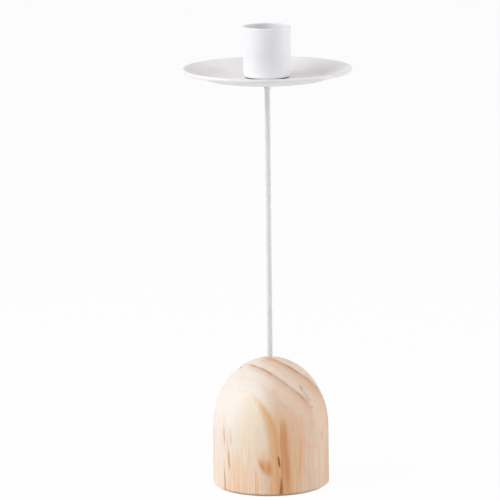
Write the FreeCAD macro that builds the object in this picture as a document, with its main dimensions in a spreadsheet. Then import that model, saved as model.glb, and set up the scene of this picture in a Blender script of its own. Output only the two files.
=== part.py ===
"""Candle stand: a turned wood base, a thin steel stem, a dished drip plate and a socket cup.

Millimetres, +Z up. The origin is the centre of the underside of the foot pad, on the stem's
axis, so the stand rests on Z = 0. Every piece is turned about that one axis. Each piece is
drawn from its own lowest seat, and its Placement stacks it on the piece that carries it.
"""

import FreeCAD
import Part
import Sketcher

import math
import os

doc = FreeCAD.newDocument("candle_stand")


# Driving dimensions

DIMENSIONS = {
    # wood base: a drum, a little wider at its foot, that closes in an upright half ellipse
    "base_foot_dia": 64.4,
    "dome_dia": 64.0,
    "base_height": 70.55,
    "dome_height": 38.45,
    "base_edge_round": 1.0,
    "pocket_dia": 18.0,
    "pocket_depth": 8.0,
    # felt pad under the base
    "pad_dia": 60.0,
    "pad_thick": 1.2,
    "pad_edge_round": 0.3,
    # stem: a drawn rod, threaded at both ends
    "stem_dia": 3.0,
    "stem_exposed": 150.25,
    "stem_in_hub": 2.6,
    "stem_tail": 1.2,
    "stem_chamfer": 0.4,
    # brass insert driven up into the wood from the pocket
    "insert_dia": 6.0,
    "insert_length": 8.0,
    "insert_flange_dia": 8.0,
    "insert_flange_thick": 0.8,
    "insert_slot_width": 1.0,
    "insert_slot_depth": 0.5,
    # split washer and hexagon nut that lock the stem in the insert
    "lock_washer_dia": 6.2,
    "lock_washer_thick": 0.8,
    "washer_slit": 0.8,
    "nut_flats": 5.5,
    "nut_height": 2.4,
    # trumpet-shaped hub between the stem and the plate
    "hub_height": 5.6,
    "hub_top_dia": 9.0,
    "hub_neck_dia": 3.6,
    "tip_gap": 0.4,
    # drip plate: flat floor, sloping wall, edge rolled into a bead
    "plate_dia": 93.4,
    "plate_wall_width": 17.1,
    "plate_depth": 6.2,
    "plate_thick": 1.0,
    "plate_bend_radius": 12.0,
    "bead_dia": 2.2,
    # thin washer that the cup stands on
    "seat_washer_dia": 24.0,
    "seat_washer_thick": 0.4,
    # socket cup
    "cup_mouth_dia": 26.5,
    "cup_foot_dia": 25.7,
    "cup_height": 27.8,
    "cup_floor_thick": 1.2,
    "cup_foot_round": 1.4,
    "cup_lip_round": 0.5,
    "socket_dia": 24.0,
    "socket_corner_round": 1.8,
    # screw and washer that clamp the cup and the plate to the hub
    "screw_washer_dia": 6.6,
    "screw_washer_thick": 0.4,
    "screw_head_dia": 5.6,
    "screw_head_height": 1.3,
    "screw_head_rim": 0.5,
    # running clearances, each measured on the radius
    "stem_gap": 0.1,
    "thread_gap": 0.05,
    "hole_gap": 0.2,
    # how far a cut runs past the face it opens
    "overrun": 2.0,
}

sheet = doc.addObject("Spreadsheet::Sheet", "Sizes")
for row, (alias, number) in enumerate(DIMENSIONS.items(), start=1):
    sheet.set(f"A{row}", alias)
    sheet.set(f"B{row}", str(number))
    sheet.setAlias(f"B{row}", alias)
doc.recompute()


class Size:
    """A length with the formula that the sheet works it out by, so both stay together."""

    def __init__(self, number, formula):
        self.number = number
        self.formula = formula

    def __add__(self, other):
        return Size(self.number + other.number, f"({self.formula} + {other.formula})")

    def __sub__(self, other):
        return Size(self.number - other.number, f"({self.formula} - {other.formula})")

    def __mul__(self, factor):
        return Size(self.number * factor, f"({self.formula} * {factor})")

    def __truediv__(self, divisor):
        return Size(self.number / divisor, f"({self.formula} / {divisor})")


class Sizes:
    """Reads a driving dimension from the sheet by its alias."""

    def __getattr__(self, alias):
        return Size(float(sheet.get(alias)), f"Sizes.{alias}")


size = Sizes()
ZERO = Size(0.0, "0")


# Radii and lengths that follow from the driving dimensions

thread_bore = size.stem_dia / 2 + size.thread_gap
screw_hole = size.stem_dia / 2 + size.hole_gap
screw_in_hub = size.hub_height - size.stem_in_hub - size.tip_gap
clamped_stack = (
    size.screw_washer_thick + size.cup_floor_thick + size.seat_washer_thick + size.plate_thick
)
stem_length = (
    size.stem_tail
    + size.nut_height
    + size.lock_washer_thick
    + size.insert_flange_thick
    + (size.base_height - size.pocket_depth)
    + size.stem_exposed
    + size.stem_in_hub
)

# Heights of the seats above the surface that the stand rests on

wood_seat = size.pad_thick
pocket_roof = wood_seat + size.pocket_depth
insert_seat = pocket_roof - size.insert_flange_thick
washer_seat = insert_seat - size.lock_washer_thick
nut_seat = washer_seat - size.nut_height
stem_seat = nut_seat - size.stem_tail
hub_seat = wood_seat + size.base_height + size.stem_exposed
plate_seat = hub_seat + size.hub_height
spacer_seat = plate_seat + size.plate_thick
cup_seat = spacer_seat + size.seat_washer_thick
screw_washer_seat = cup_seat + size.cup_floor_thick
screw_seat = screw_washer_seat + size.screw_washer_thick


# Helpers for bodies and sketches

def new_body(label, seat):
    """A piece of the stand, drawn from Z = 0 and lifted to its seat."""
    body = doc.addObject("PartDesign::Body", label)
    body.Label = label
    body.setExpression("Placement.Base.z", seat.formula)
    return body


def new_sketch(body, name, role):
    """An empty sketch on the body's own origin plane: XZ for profiles, XY for plan shapes."""
    sketch = body.newObject("Sketcher::SketchObject", name)
    plane = next(item for item in body.Origin.OriginFeatures if item.Role == role)
    sketch.AttachmentSupport = [(plane, "")]
    sketch.MapMode = "FlatFace"
    return sketch


def bind(sketch, name, constraint, length):
    """Add a dimension and tie it to its formula."""
    index = sketch.addConstraint(constraint)
    sketch.renameConstraint(index, name)
    sketch.setExpression(f"Constraints.{name}", length.formula)


def place(sketch, geometry, end, across=None, up=None):
    """Give one point its distance from the vertical axis, the horizontal axis, or both."""
    for letter, length, axis in (("x", across, -2), ("y", up, -1)):
        if length is None:
            continue
        if length is ZERO:
            sketch.addConstraint(Sketcher.Constraint("PointOnObject", geometry, end, axis))
            continue
        kind = "DistanceX" if letter == "x" else "DistanceY"
        constraint = Sketcher.Constraint(kind, -1, 1, geometry, end, length.number)
        bind(sketch, f"{letter}_{geometry}_{end}", constraint, length)


def arc_between(start, end, centre_axis):
    """The short arc between two points whose centre lies on the named axis of the sketch.

    An arc always runs anticlockwise, so the second value says whether it starts at the end.
    """
    (x1, y1), (x2, y2) = start, end
    excess = x2 * x2 + y2 * y2 - x1 * x1 - y1 * y1
    if centre_axis == "vertical":
        centre = FreeCAD.Vector(0, excess / (2 * (y2 - y1)), 0)
    else:
        centre = FreeCAD.Vector(excess / (2 * (x2 - x1)), 0, 0)
    circle = Part.Circle(centre, FreeCAD.Vector(0, 0, 1), math.hypot(x1 - centre.x, y1 - centre.y))
    first = math.atan2(y1 - centre.y, x1 - centre.x)
    second = math.atan2(y2 - centre.y, x2 - centre.x)
    turned = (x1 - centre.x) * (y2 - centre.y) < (x2 - centre.x) * (y1 - centre.y)
    if turned:
        first, second = second, first
    if second < first:
        second += 2 * math.pi
    return Part.ArcOfCircle(circle, first, second), turned


def draw_outline(sketch, corners, arcs=None):
    """Close a ring of corners, each a pair of sizes (distance from the axis, height).

    A side whose ends share a size is vertical or horizontal, and one dimension places it.
    arcs names the sides that are arcs, by the corner they leave, with the axis that the
    arc's centre lies on.
    """
    arcs = arcs or {}
    count = len(corners)
    points = [(across.number, up.number) for across, up in corners]
    upright = []
    level = []
    backwards = []
    for i, (across, up) in enumerate(corners):
        next_across, next_up = corners[(i + 1) % count]
        start, end = points[i], points[(i + 1) % count]
        straight = i not in arcs
        if straight:
            first, second = (FreeCAD.Vector(x, y, 0) for x, y in (start, end))
            sketch.addGeometry(Part.LineSegment(first, second), False)
            backwards.append(False)
        else:
            arc, turned = arc_between(start, end, arcs[i])
            sketch.addGeometry(arc, False)
            backwards.append(turned)
        upright.append(straight and across.formula == next_across.formula)
        level.append(straight and up.formula == next_up.formula)
    first_end = [2 if turned else 1 for turned in backwards]
    last_end = [1 if turned else 2 for turned in backwards]
    for i in range(count):
        following = (i + 1) % count
        sketch.addConstraint(
            Sketcher.Constraint("Coincident", i, last_end[i], following, first_end[following])
        )
    for i, (across, up) in enumerate(corners):
        before = i - 1 if i else count - 1
        if upright[i]:
            sketch.addConstraint(Sketcher.Constraint("Vertical", i))
        if level[i]:
            sketch.addConstraint(Sketcher.Constraint("Horizontal", i))
        if not upright[before]:
            place(sketch, i, first_end[i], across=across)
        if not level[before]:
            place(sketch, i, first_end[i], up=up)
        if i in arcs:
            axis = -2 if arcs[i] == "vertical" else -1
            sketch.addConstraint(Sketcher.Constraint("PointOnObject", i, 3, axis))
    return sketch


def turn(body, sketch, name):
    """Revolve a profile once round the stem's axis."""
    feature = body.newObject("PartDesign::Revolution", name)
    feature.Profile = sketch
    feature.ReferenceAxis = (sketch, ["V_Axis"])
    feature.Angle = 360
    sketch.Visibility = False
    doc.recompute()
    return feature


def turn_away(body, sketch, name):
    """Cut a profile away once round the stem's axis, and prove that it took something."""
    before = body.Shape.Volume
    feature = body.newObject("PartDesign::Groove", name)
    feature.Profile = sketch
    feature.ReferenceAxis = (sketch, ["V_Axis"])
    feature.Angle = 360
    sketch.Visibility = False
    doc.recompute()
    if body.Shape.Volume >= before:
        raise RuntimeError(f"{body.Label}: {name} cuts nothing")
    return feature


def cut_up(body, sketch, name, depth, through=False):
    """Pocket a plan sketch upwards from the piece's underside, and prove that it cut."""
    before = body.Shape.Volume
    feature = body.newObject("PartDesign::Pocket", name)
    feature.Profile = sketch
    feature.Reversed = True
    if through:
        feature.Type = "ThroughAll"
    else:
        feature.setExpression("Length", depth.formula)
    sketch.Visibility = False
    doc.recompute()
    if body.Shape.Volume >= before:
        raise RuntimeError(f"{body.Label}: {name} cuts nothing")
    return feature


def round_edges(body, name, rings, radius):
    """Round the circular edges given as pairs (radius, height) in the body's own frame."""
    base = body.Tip
    names = []
    for ring_radius, height in rings:
        for number, edge in enumerate(base.Shape.Edges, start=1):
            if edge.Degenerated or not isinstance(edge.Curve, Part.Circle):
                continue
            curve = edge.Curve
            same_radius = math.isclose(curve.Radius, ring_radius.number, rel_tol=1e-6)
            nearness = abs(curve.Center.z - height.number)
            if same_radius and nearness < ring_radius.number * 1e-6:
                names.append(f"Edge{number}")
    if len(names) != len(rings):
        raise RuntimeError(f"{body.Label}: {name} finds {len(names)} of {len(rings)} edges")
    fillet = body.newObject("PartDesign::Fillet", name)
    fillet.Base = (base, names)
    fillet.setExpression("Radius", radius.formula)
    doc.recompute()
    return fillet


def plain_ring(label, seat, inner, outer, thickness):
    """A flat washer or disc of rectangular section."""
    body = new_body(label, seat)
    sketch = new_sketch(body, f"{label}_section", "XZ_Plane")
    corners = [(inner, ZERO), (outer, ZERO), (outer, thickness), (inner, thickness)]
    draw_outline(sketch, corners)
    turn(body, sketch, f"{label}_turned")
    return body


def cut_slit(body, width, near, far, depth, through=False):
    """Cut a straight slit along X, from near to far, up from the piece's underside."""
    sketch = new_sketch(body, f"{body.Label}_slit", "XY_Plane")
    half = width / 2
    draw_outline(sketch, [(near, ZERO - half), (far, ZERO - half), (far, half), (near, half)])
    cut_up(body, sketch, f"{body.Label}_slit_cut", depth, through)


# Foot pad: a felt disc with softened edges

foot_pad = plain_ring("foot_pad", ZERO, ZERO, size.pad_dia / 2, size.pad_thick)
pad_rings = [(size.pad_dia / 2, ZERO), (size.pad_dia / 2, size.pad_thick)]
round_edges(foot_pad, "pad_soft_edges", pad_rings, size.pad_edge_round)


# Wood base: a drum and an upright half ellipse in one profile, then the stepped bore

def draw_dome(sketch):
    """Underside, drum wall, quarter ellipse and axis."""
    dome_radius = size.dome_dia / 2
    foot_radius = size.base_foot_dia / 2
    shoulder = size.base_height - size.dome_height
    origin = FreeCAD.Vector(0, 0, 0)
    foot = FreeCAD.Vector(foot_radius.number, 0, 0)
    side = FreeCAD.Vector(dome_radius.number, shoulder.number, 0)
    crown = FreeCAD.Vector(0, size.base_height.number, 0)
    middle = FreeCAD.Vector(0, shoulder.number, 0)
    upright = size.dome_height.number >= dome_radius.number
    if upright:
        ellipse = Part.Ellipse(crown, side, middle)
        quarter = Part.ArcOfEllipse(ellipse, -math.pi / 2, 0)
    else:
        ellipse = Part.Ellipse(side, crown, middle)
        quarter = Part.ArcOfEllipse(ellipse, 0, math.pi / 2)
    underside, drum, dome, axis, long_axis = range(5)
    sketch.addGeometry([
        Part.LineSegment(origin, foot),
        Part.LineSegment(foot, side),
        quarter,
        Part.LineSegment(crown, origin),
    ], False)
    rules = [
        ("Coincident", underside, 1, -1, 1),
        ("Horizontal", underside),
        ("Coincident", underside, 2, drum, 1),
        ("Coincident", drum, 2, dome, 1),
        ("Coincident", dome, 2, axis, 1),
        ("Coincident", axis, 2, -1, 1),
        ("Vertical", axis),
        ("PointOnObject", dome, 3, -2),
    ]
    for rule in rules:
        sketch.addConstraint(Sketcher.Constraint(*rule))
    place(sketch, drum, 1, across=foot_radius)
    place(sketch, drum, 2, across=dome_radius, up=shoulder)
    place(sketch, dome, 3, up=shoulder)
    place(sketch, axis, 1, up=size.base_height)
    sketch.exposeInternalGeometry(dome)
    sketch.addConstraint(Sketcher.Constraint("Vertical" if upright else "Horizontal", long_axis))


wood_base = new_body("wood_base", wood_seat)
dome_sketch = new_sketch(wood_base, "dome_profile", "XZ_Plane")
draw_dome(dome_sketch)
turn(wood_base, dome_sketch, "dome_turned")
foot_ring = [(size.base_foot_dia / 2, ZERO)]
round_edges(wood_base, "base_lower_edge", foot_ring, size.base_edge_round)

insert_hole = size.insert_dia / 2 + size.thread_gap
insert_top = size.pocket_depth + size.insert_length
stem_hole = size.stem_dia / 2 + size.stem_gap
bore_top = size.base_height + size.overrun
bore_sketch = new_sketch(wood_base, "bore_profile", "XZ_Plane")
draw_outline(bore_sketch, [
    (ZERO, ZERO - size.overrun),
    (size.pocket_dia / 2, ZERO - size.overrun),
    (size.pocket_dia / 2, size.pocket_depth),
    (insert_hole, size.pocket_depth),
    (insert_hole, insert_top),
    (stem_hole, insert_top),
    (stem_hole, bore_top),
    (ZERO, bore_top),
])
turn_away(wood_base, bore_sketch, "bore_cut")


# Threaded insert: a flanged brass bush with a driver slot across its lower face

threaded_insert = new_body("threaded_insert", insert_seat)
insert_sketch = new_sketch(threaded_insert, "insert_profile", "XZ_Plane")
insert_height = size.insert_flange_thick + size.insert_length
draw_outline(insert_sketch, [
    (thread_bore, ZERO),
    (size.insert_flange_dia / 2, ZERO),
    (size.insert_flange_dia / 2, size.insert_flange_thick),
    (size.insert_dia / 2, size.insert_flange_thick),
    (size.insert_dia / 2, insert_height),
    (thread_bore, insert_height),
])
turn(threaded_insert, insert_sketch, "insert_turned")
slot_reach = size.insert_flange_dia / 2 + size.overrun
slot_start = ZERO - slot_reach
cut_slit(
    threaded_insert, size.insert_slot_width, slot_start, slot_reach, size.insert_slot_depth
)


# Lock washer: a flat ring, split on one side

lock_washer = plain_ring(
    "lock_washer", washer_seat, screw_hole, size.lock_washer_dia / 2, size.lock_washer_thick
)
split_reach = size.lock_washer_dia / 2 + size.overrun
cut_slit(
    lock_washer, size.washer_slit, ZERO, split_reach, size.lock_washer_thick, through=True
)


# Lock nut: a hexagon prism with its corners turned off at both faces

def draw_hexagon(sketch, flats, bore):
    """A regular hexagon about the origin with one corner on the X axis, and its bore."""
    corner_radius = flats / math.sqrt(3)
    corners = [
        (
            corner_radius.number * math.cos(math.radians(60 * i)),
            corner_radius.number * math.sin(math.radians(60 * i)),
        )
        for i in range(6)
    ]
    for i, start in enumerate(corners):
        first, second = (FreeCAD.Vector(x, y, 0) for x, y in (start, corners[(i + 1) % 6]))
        sketch.addGeometry(Part.LineSegment(first, second), False)
    up = FreeCAD.Vector(0, 0, 1)
    centre = FreeCAD.Vector(0, 0, 0)
    sketch.addGeometry(Part.Circle(centre, up, corner_radius.number), True)
    sketch.addGeometry(Part.Circle(centre, up, bore.number), False)
    for i in range(6):
        sketch.addConstraint(Sketcher.Constraint("Coincident", i, 2, (i + 1) % 6, 1))
        sketch.addConstraint(Sketcher.Constraint("PointOnObject", i, 1, 6))
    for i in range(1, 6):
        sketch.addConstraint(Sketcher.Constraint("Equal", 0, i))
    sketch.addConstraint(Sketcher.Constraint("PointOnObject", 0, 1, -1))
    sketch.addConstraint(Sketcher.Constraint("Coincident", 6, 3, -1, 1))
    sketch.addConstraint(Sketcher.Constraint("Coincident", 7, 3, -1, 1))
    corner_rule = Sketcher.Constraint("Radius", 6, corner_radius.number)
    bind(sketch, "corner_radius", corner_rule, corner_radius)
    bind(sketch, "bore_radius", Sketcher.Constraint("Radius", 7, bore.number), bore)


lock_nut = new_body("lock_nut", nut_seat)
hexagon_sketch = new_sketch(lock_nut, "hexagon", "XY_Plane")
draw_hexagon(hexagon_sketch, size.nut_flats, thread_bore)
nut_pad = lock_nut.newObject("PartDesign::Pad", "hexagon_prism")
nut_pad.Profile = hexagon_sketch
nut_pad.setExpression("Length", size.nut_height.formula)
hexagon_sketch.Visibility = False
doc.recompute()

face_share = 0.95
slope_share = math.tan(math.radians(30))
face_radius = size.nut_flats / 2 * face_share
cone_reach = size.nut_flats - face_radius
cone_drop = cone_reach * slope_share
for end_name, face_height, edge_height in (
    ("lower", ZERO, cone_drop),
    ("upper", size.nut_height, size.nut_height - cone_drop),
):
    cone_sketch = new_sketch(lock_nut, f"{end_name}_cone", "XZ_Plane")
    draw_outline(cone_sketch, [
        (face_radius, face_height),
        (size.nut_flats, face_height),
        (size.nut_flats, edge_height),
    ])
    turn_away(lock_nut, cone_sketch, f"{end_name}_corners_turned")


# Stem: a round rod with chamfered ends

stem_rod = new_body("stem_rod", stem_seat)
stem_sketch = new_sketch(stem_rod, "stem_profile", "XZ_Plane")
stem_radius = size.stem_dia / 2
draw_outline(stem_sketch, [
    (ZERO, ZERO),
    (stem_radius - size.stem_chamfer, ZERO),
    (stem_radius, size.stem_chamfer),
    (stem_radius, stem_length - size.stem_chamfer),
    (stem_radius - size.stem_chamfer, stem_length),
    (ZERO, stem_length),
])
turn(stem_rod, stem_sketch, "stem_turned")


# Hub: its flare leaves the stem upright and opens in one arc to the plate

plate_hub = new_body("plate_hub", hub_seat)
hub_sketch = new_sketch(plate_hub, "hub_profile", "XZ_Plane")
draw_outline(hub_sketch, [
    (thread_bore, ZERO),
    (size.hub_neck_dia / 2, ZERO),
    (size.hub_top_dia / 2, size.hub_height),
    (thread_bore, size.hub_height),
], arcs={1: "horizontal"})
turn(plate_hub, hub_sketch, "hub_turned")


# Drip plate: one sheet profile, with the edge rolled outwards and down into a bead

def draw_dish(sketch):
    """Floor, bend, sloping wall and rolled bead, drawn as one closed sheet profile.

    The wall's upper line touches the bend's inner arc from below and the bead from above,
    so its slope follows from the plate's depth and the width that the wall takes up.
    """
    thick = size.plate_thick
    bend = size.plate_bend_radius
    bead = size.bead_dia / 2
    bend_x, bend_y = size.plate_dia / 2 - size.plate_wall_width, thick + bend
    bead_x, bead_y = size.plate_dia / 2 - bead, size.plate_depth - bead
    run = bead_x.number - bend_x.number
    rise = bead_y.number - bend_y.number
    span = math.hypot(run, rise)
    slope = math.atan2(rise, run) + math.asin((bend.number + bead.number) / span)
    across_wall = (math.sin(slope), -math.cos(slope))

    def off(x, y, distance):
        """A point at a distance below the wall's direction from the given centre."""
        return (x + across_wall[0] * distance, y + across_wall[1] * distance)

    hole = screw_hole.number
    outer_bend = off(bend_x.number, bend_y.number, bend.number + thick.number)
    inner_bend = off(bend_x.number, bend_y.number, bend.number)
    crest = off(bead_x.number, bead_y.number, -bead.number)
    tuck = bead.number - thick.number
    back = math.sqrt(bead.number ** 2 - tuck ** 2)
    along_wall = (math.cos(slope), math.sin(slope))
    root = off(bead_x.number, bead_y.number, -tuck)
    root = (root[0] - along_wall[0] * back, root[1] - along_wall[1] * back)
    corners = [
        (hole, 0.0),
        (bend_x.number, 0.0),
        outer_bend,
        root,
        crest,
        inner_bend,
        (bend_x.number, thick.number),
        (hole, thick.number),
    ]
    vectors = [FreeCAD.Vector(x, y, 0) for x, y in corners]
    bend_centre = FreeCAD.Vector(bend_x.number, bend_y.number, 0)
    bead_centre = FreeCAD.Vector(bead_x.number, bead_y.number, 0)
    normal = FreeCAD.Vector(0, 0, 1)
    down = -math.pi / 2
    bent = slope - math.pi / 2
    root_angle = math.atan2(root[1] - bead_y.number, root[0] - bead_x.number)
    crest_angle = slope + math.pi / 2
    outer_circle = Part.Circle(bend_centre, normal, bend.number + thick.number)
    inner_circle = Part.Circle(bend_centre, normal, bend.number)
    bead_circle = Part.Circle(bead_centre, normal, bead.number)
    floor_below, outer_arc, wall_below, bead_arc, wall_above, inner_arc, floor_above, hole_wall = range(8)
    sketch.addGeometry([
        Part.LineSegment(vectors[0], vectors[1]),
        Part.ArcOfCircle(outer_circle, down, bent),
        Part.LineSegment(vectors[2], vectors[3]),
        Part.ArcOfCircle(bead_circle, root_angle, crest_angle),
        Part.LineSegment(vectors[4], vectors[5]),
        Part.ArcOfCircle(inner_circle, down, bent),
        Part.LineSegment(vectors[6], vectors[7]),
        Part.LineSegment(vectors[7], vectors[0]),
    ], False)
    rules = [
        ("Tangent", floor_below, 2, outer_arc, 1),
        ("Tangent", outer_arc, 2, wall_below, 1),
        ("Coincident", wall_below, 2, bead_arc, 1),
        ("Tangent", bead_arc, 2, wall_above, 1),
        ("Tangent", wall_above, 2, inner_arc, 2),
        ("Tangent", inner_arc, 1, floor_above, 1),
        ("Coincident", floor_above, 2, hole_wall, 1),
        ("Coincident", hole_wall, 2, floor_below, 1),
        ("Coincident", outer_arc, 3, inner_arc, 3),
        ("Horizontal", floor_below),
        ("Horizontal", floor_above),
        ("Vertical", hole_wall),
        ("Parallel", wall_below, wall_above),
    ]
    for rule in rules:
        sketch.addConstraint(Sketcher.Constraint(*rule))
    place(sketch, floor_below, 1, across=screw_hole, up=ZERO)
    place(sketch, floor_above, 2, up=thick)
    place(sketch, inner_arc, 3, across=bend_x)
    place(sketch, bead_arc, 3, across=bead_x, up=bead_y)
    bind(sketch, "bend_radius", Sketcher.Constraint("Radius", inner_arc, bend.number), bend)
    bind(sketch, "bead_radius", Sketcher.Constraint("Radius", bead_arc, bead.number), bead)


drip_plate = new_body("drip_plate", plate_seat)
dish_sketch = new_sketch(drip_plate, "dish_profile", "XZ_Plane")
draw_dish(dish_sketch)
turn(drip_plate, dish_sketch, "dish_spun")


# Seat washer: keeps the cup's foot just clear of the plate

seat_washer = plain_ring(
    "seat_washer", spacer_seat, screw_hole, size.seat_washer_dia / 2, size.seat_washer_thick
)


# Socket cup: straight bore, slightly tapered outside, rounded foot and lip

candle_cup = new_body("candle_cup", cup_seat)
cup_sketch = new_sketch(candle_cup, "cup_profile", "XZ_Plane")
draw_outline(cup_sketch, [
    (screw_hole, ZERO),
    (size.cup_foot_dia / 2, ZERO),
    (size.cup_mouth_dia / 2, size.cup_height),
    (size.socket_dia / 2, size.cup_height),
    (size.socket_dia / 2, size.cup_floor_thick),
    (screw_hole, size.cup_floor_thick),
])
turn(candle_cup, cup_sketch, "cup_turned")
lip_rings = [(size.cup_mouth_dia / 2, size.cup_height), (size.socket_dia / 2, size.cup_height)]
round_edges(candle_cup, "cup_lip", lip_rings, size.cup_lip_round)
round_edges(candle_cup, "cup_foot", [(size.cup_foot_dia / 2, ZERO)], size.cup_foot_round)
corner_ring = [(size.socket_dia / 2, size.cup_floor_thick)]
round_edges(candle_cup, "socket_corner", corner_ring, size.socket_corner_round)


# Washer under the screw's head

screw_washer = plain_ring(
    "screw_washer",
    screw_washer_seat,
    screw_hole,
    size.screw_washer_dia / 2,
    size.screw_washer_thick,
)


# Screw: low domed head above its seat, shank down through the stack into the hub

cup_screw = new_body("cup_screw", screw_seat)
screw_sketch = new_sketch(cup_screw, "screw_profile", "XZ_Plane")
shank_end = ZERO - clamped_stack - screw_in_hub
draw_outline(screw_sketch, [
    (ZERO, shank_end),
    (stem_radius - size.stem_chamfer, shank_end),
    (stem_radius, shank_end + size.stem_chamfer),
    (stem_radius, ZERO),
    (size.screw_head_dia / 2, ZERO),
    (size.screw_head_dia / 2, size.screw_head_rim),
    (ZERO, size.screw_head_height),
], arcs={5: "vertical"})
turn(cup_screw, screw_sketch, "screw_turned")


# Check every object and every piece, then write the pieces

doc.recompute()
for item in doc.Objects:
    if "Invalid" in item.State or "Error" in item.State:
        raise RuntimeError(f"{item.Label} is {item.State}")

pieces = [item for item in doc.Objects if item.TypeId == "PartDesign::Body"]
for piece in pieces:
    shape = piece.Shape
    if shape.isNull() or not shape.isValid() or len(shape.Solids) != 1:
        raise RuntimeError(f"{piece.Label} is not one valid solid")

os.makedirs("parts", exist_ok=True)
for piece in pieces:
    piece.Shape.exportStep(f"parts/{piece.Label}.step")
    box = piece.Shape.optimalBoundingBox()
    print(
        f"{piece.Label}: dia {box.XLength:.2f}, Z {box.ZMin:.2f} to {box.ZMax:.2f},"
        f" {piece.Shape.Volume:.1f} cubic mm"
    )
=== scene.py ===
# %% [markdown]
# # A candle stand in turned wood and white-coated steel
# The construction model gives every piece its place and size. This script dresses it: it
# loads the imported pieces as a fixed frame, swaps in a few surfaces that show more than a
# plain solid can (the wood, the felt, the threads), and gives every piece a finish worked
# out from its own object coordinates, so the pattern stays put from any side.

# %% Load the frame
import math

import bpy
import numpy as np
from mathutils import Matrix, Vector


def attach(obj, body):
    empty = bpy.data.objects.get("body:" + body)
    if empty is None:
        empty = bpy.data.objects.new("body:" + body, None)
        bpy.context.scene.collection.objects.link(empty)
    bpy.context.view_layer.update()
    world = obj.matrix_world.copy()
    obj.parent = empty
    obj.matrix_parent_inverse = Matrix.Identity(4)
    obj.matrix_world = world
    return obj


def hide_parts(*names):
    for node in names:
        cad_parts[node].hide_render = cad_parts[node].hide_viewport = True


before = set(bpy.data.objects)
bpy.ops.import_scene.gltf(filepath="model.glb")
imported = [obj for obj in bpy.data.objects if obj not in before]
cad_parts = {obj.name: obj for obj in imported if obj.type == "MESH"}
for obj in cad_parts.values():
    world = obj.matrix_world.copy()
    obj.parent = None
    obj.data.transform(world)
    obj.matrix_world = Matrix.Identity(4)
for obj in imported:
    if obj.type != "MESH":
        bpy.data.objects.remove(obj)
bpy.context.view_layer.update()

MM = 0.001
scene = bpy.context.scene
scene.view_settings.view_transform = "Standard"
print("pieces in the frame:", ", ".join(sorted(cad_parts)))

# %% [markdown]
# ## Sizes from the construction model
# A dressed piece has to fit where its plain one stands. So its sizes aren't typed in again
# but measured on the plain piece. Every piece is centred on the stem, so three numbers say
# where it lies: its largest radius, its foot and its top. A bounding box would give the
# heights too, but its half width falls short of the radius where no corner of the mesh lies
# right on an axis. What can't be measured from outside, such as a hole's width, is a named
# value in the cell of its piece.


# %% Measure the pieces
def measured(node):
    """Largest radius about the stem, height of the foot and of the top, in millimetres."""
    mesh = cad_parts[node].data
    points = np.empty(3 * len(mesh.vertices), np.float32)
    mesh.vertices.foreach_get("co", points)
    across, back, up = points.astype(float).reshape(-1, 3).T / MM
    sizes = np.hypot(across, back).max(), up.min(), up.max()
    return tuple(round(float(size), 3) for size in sizes)


for node in sorted(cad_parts):
    print(node, "has its radius, foot and top at", measured(node), "mm")

# %% [markdown]
# ## Where the photograph was taken from
# A long lens from a little above the table: the mouth of the cup, the plate's rim and the
# foot of the base are three ellipses at known heights, and how open each one is fixes the
# height and the distance of the eye. The camera could be aimed with a Track To constraint,
# but a pitch and a roll written as two rotations say the same and can be read back.

# %% Camera
EYE_MM = (-10.43, -2244.0, 548.3)
PITCH_DEG = 10.50
ROLL_DEG = 0.64

camera_data = bpy.data.cameras.new("photo_camera")
camera_data.sensor_width = 36.0
camera_data.lens = 297.97
camera_data.clip_start = 0.05
camera_data.clip_end = 20.0
camera = bpy.data.objects.new("photo_camera", camera_data)
scene.collection.objects.link(camera)
pitch = Matrix.Rotation(math.radians(90.0 - PITCH_DEG), 4, "X")
roll = Matrix.Rotation(math.radians(-ROLL_DEG), 4, "Z")
camera.matrix_world = Matrix.Translation(Vector(EYE_MM) * MM) @ pitch @ roll
scene.camera = camera
print("camera looks down by", PITCH_DEG, "degrees from", EYE_MM, "mm")

# %% [markdown]
# ## Surfaces as grids
# Everything on this stand is turned or rolled, so each new piece is one grid of points:
# the rows follow a profile and the columns go round the axis. Blender's Spin or a Screw
# modifier would also do it, but a grid of numbers can carry relief, such as a crack or a
# thread, in the same step. The grid is wound so that its faces look outwards.


# %% Grid to mesh
def solid_from_rows(name, rows, looped, sharp_deg=35.0):
    """One closed piece from rings of points.

    rows has the shape (rings, columns, 3), in millimetres, and each ring closes on itself.
    A looped piece joins its last ring to its first, as a tube does. Otherwise the first
    and last rings are closed by a fan of triangles to their middle point.
    """
    rings, columns = rows.shape[:2]
    points = rows.reshape(-1, 3)
    ring = np.arange(rings if looped else rings - 1)[:, None]
    column = np.arange(columns)[None, :]
    following = (ring + 1) % rings
    beside = (column + 1) % columns
    corners = [
        ring * columns + column,
        ring * columns + beside,
        following * columns + beside,
        following * columns + column,
    ]
    faces = np.stack([c.reshape(-1) for c in corners], axis=1).tolist()
    if not looped:
        edge = np.arange(columns)
        beyond = (edge + 1) % columns
        last = (rings - 1) * columns
        foot, crown = len(points), len(points) + 1
        points = np.concatenate([points, rows[0].mean(0)[None], rows[-1].mean(0)[None]])
        faces += np.stack([beyond, edge, np.full(columns, foot)], axis=1).tolist()
        faces += np.stack([last + edge, last + beyond, np.full(columns, crown)], axis=1).tolist()
    mesh = bpy.data.meshes.new(name)
    mesh.from_pydata((points * MM).tolist(), [], faces)
    mesh.polygons.foreach_set("use_smooth", np.ones(len(mesh.polygons), bool))
    mesh.set_sharp_from_angle(angle=math.radians(sharp_deg))
    mesh.update()
    piece = bpy.data.objects.new(name, mesh)
    scene.collection.objects.link(piece)
    print("made", name, "with", len(mesh.polygons), "faces")
    return piece


def line(start, end, count):
    """Points on the straight line from start towards end, without the end itself."""
    share = np.arange(count)[:, None] / count
    return np.array(start) * (1 - share) + np.array(end) * share


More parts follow.
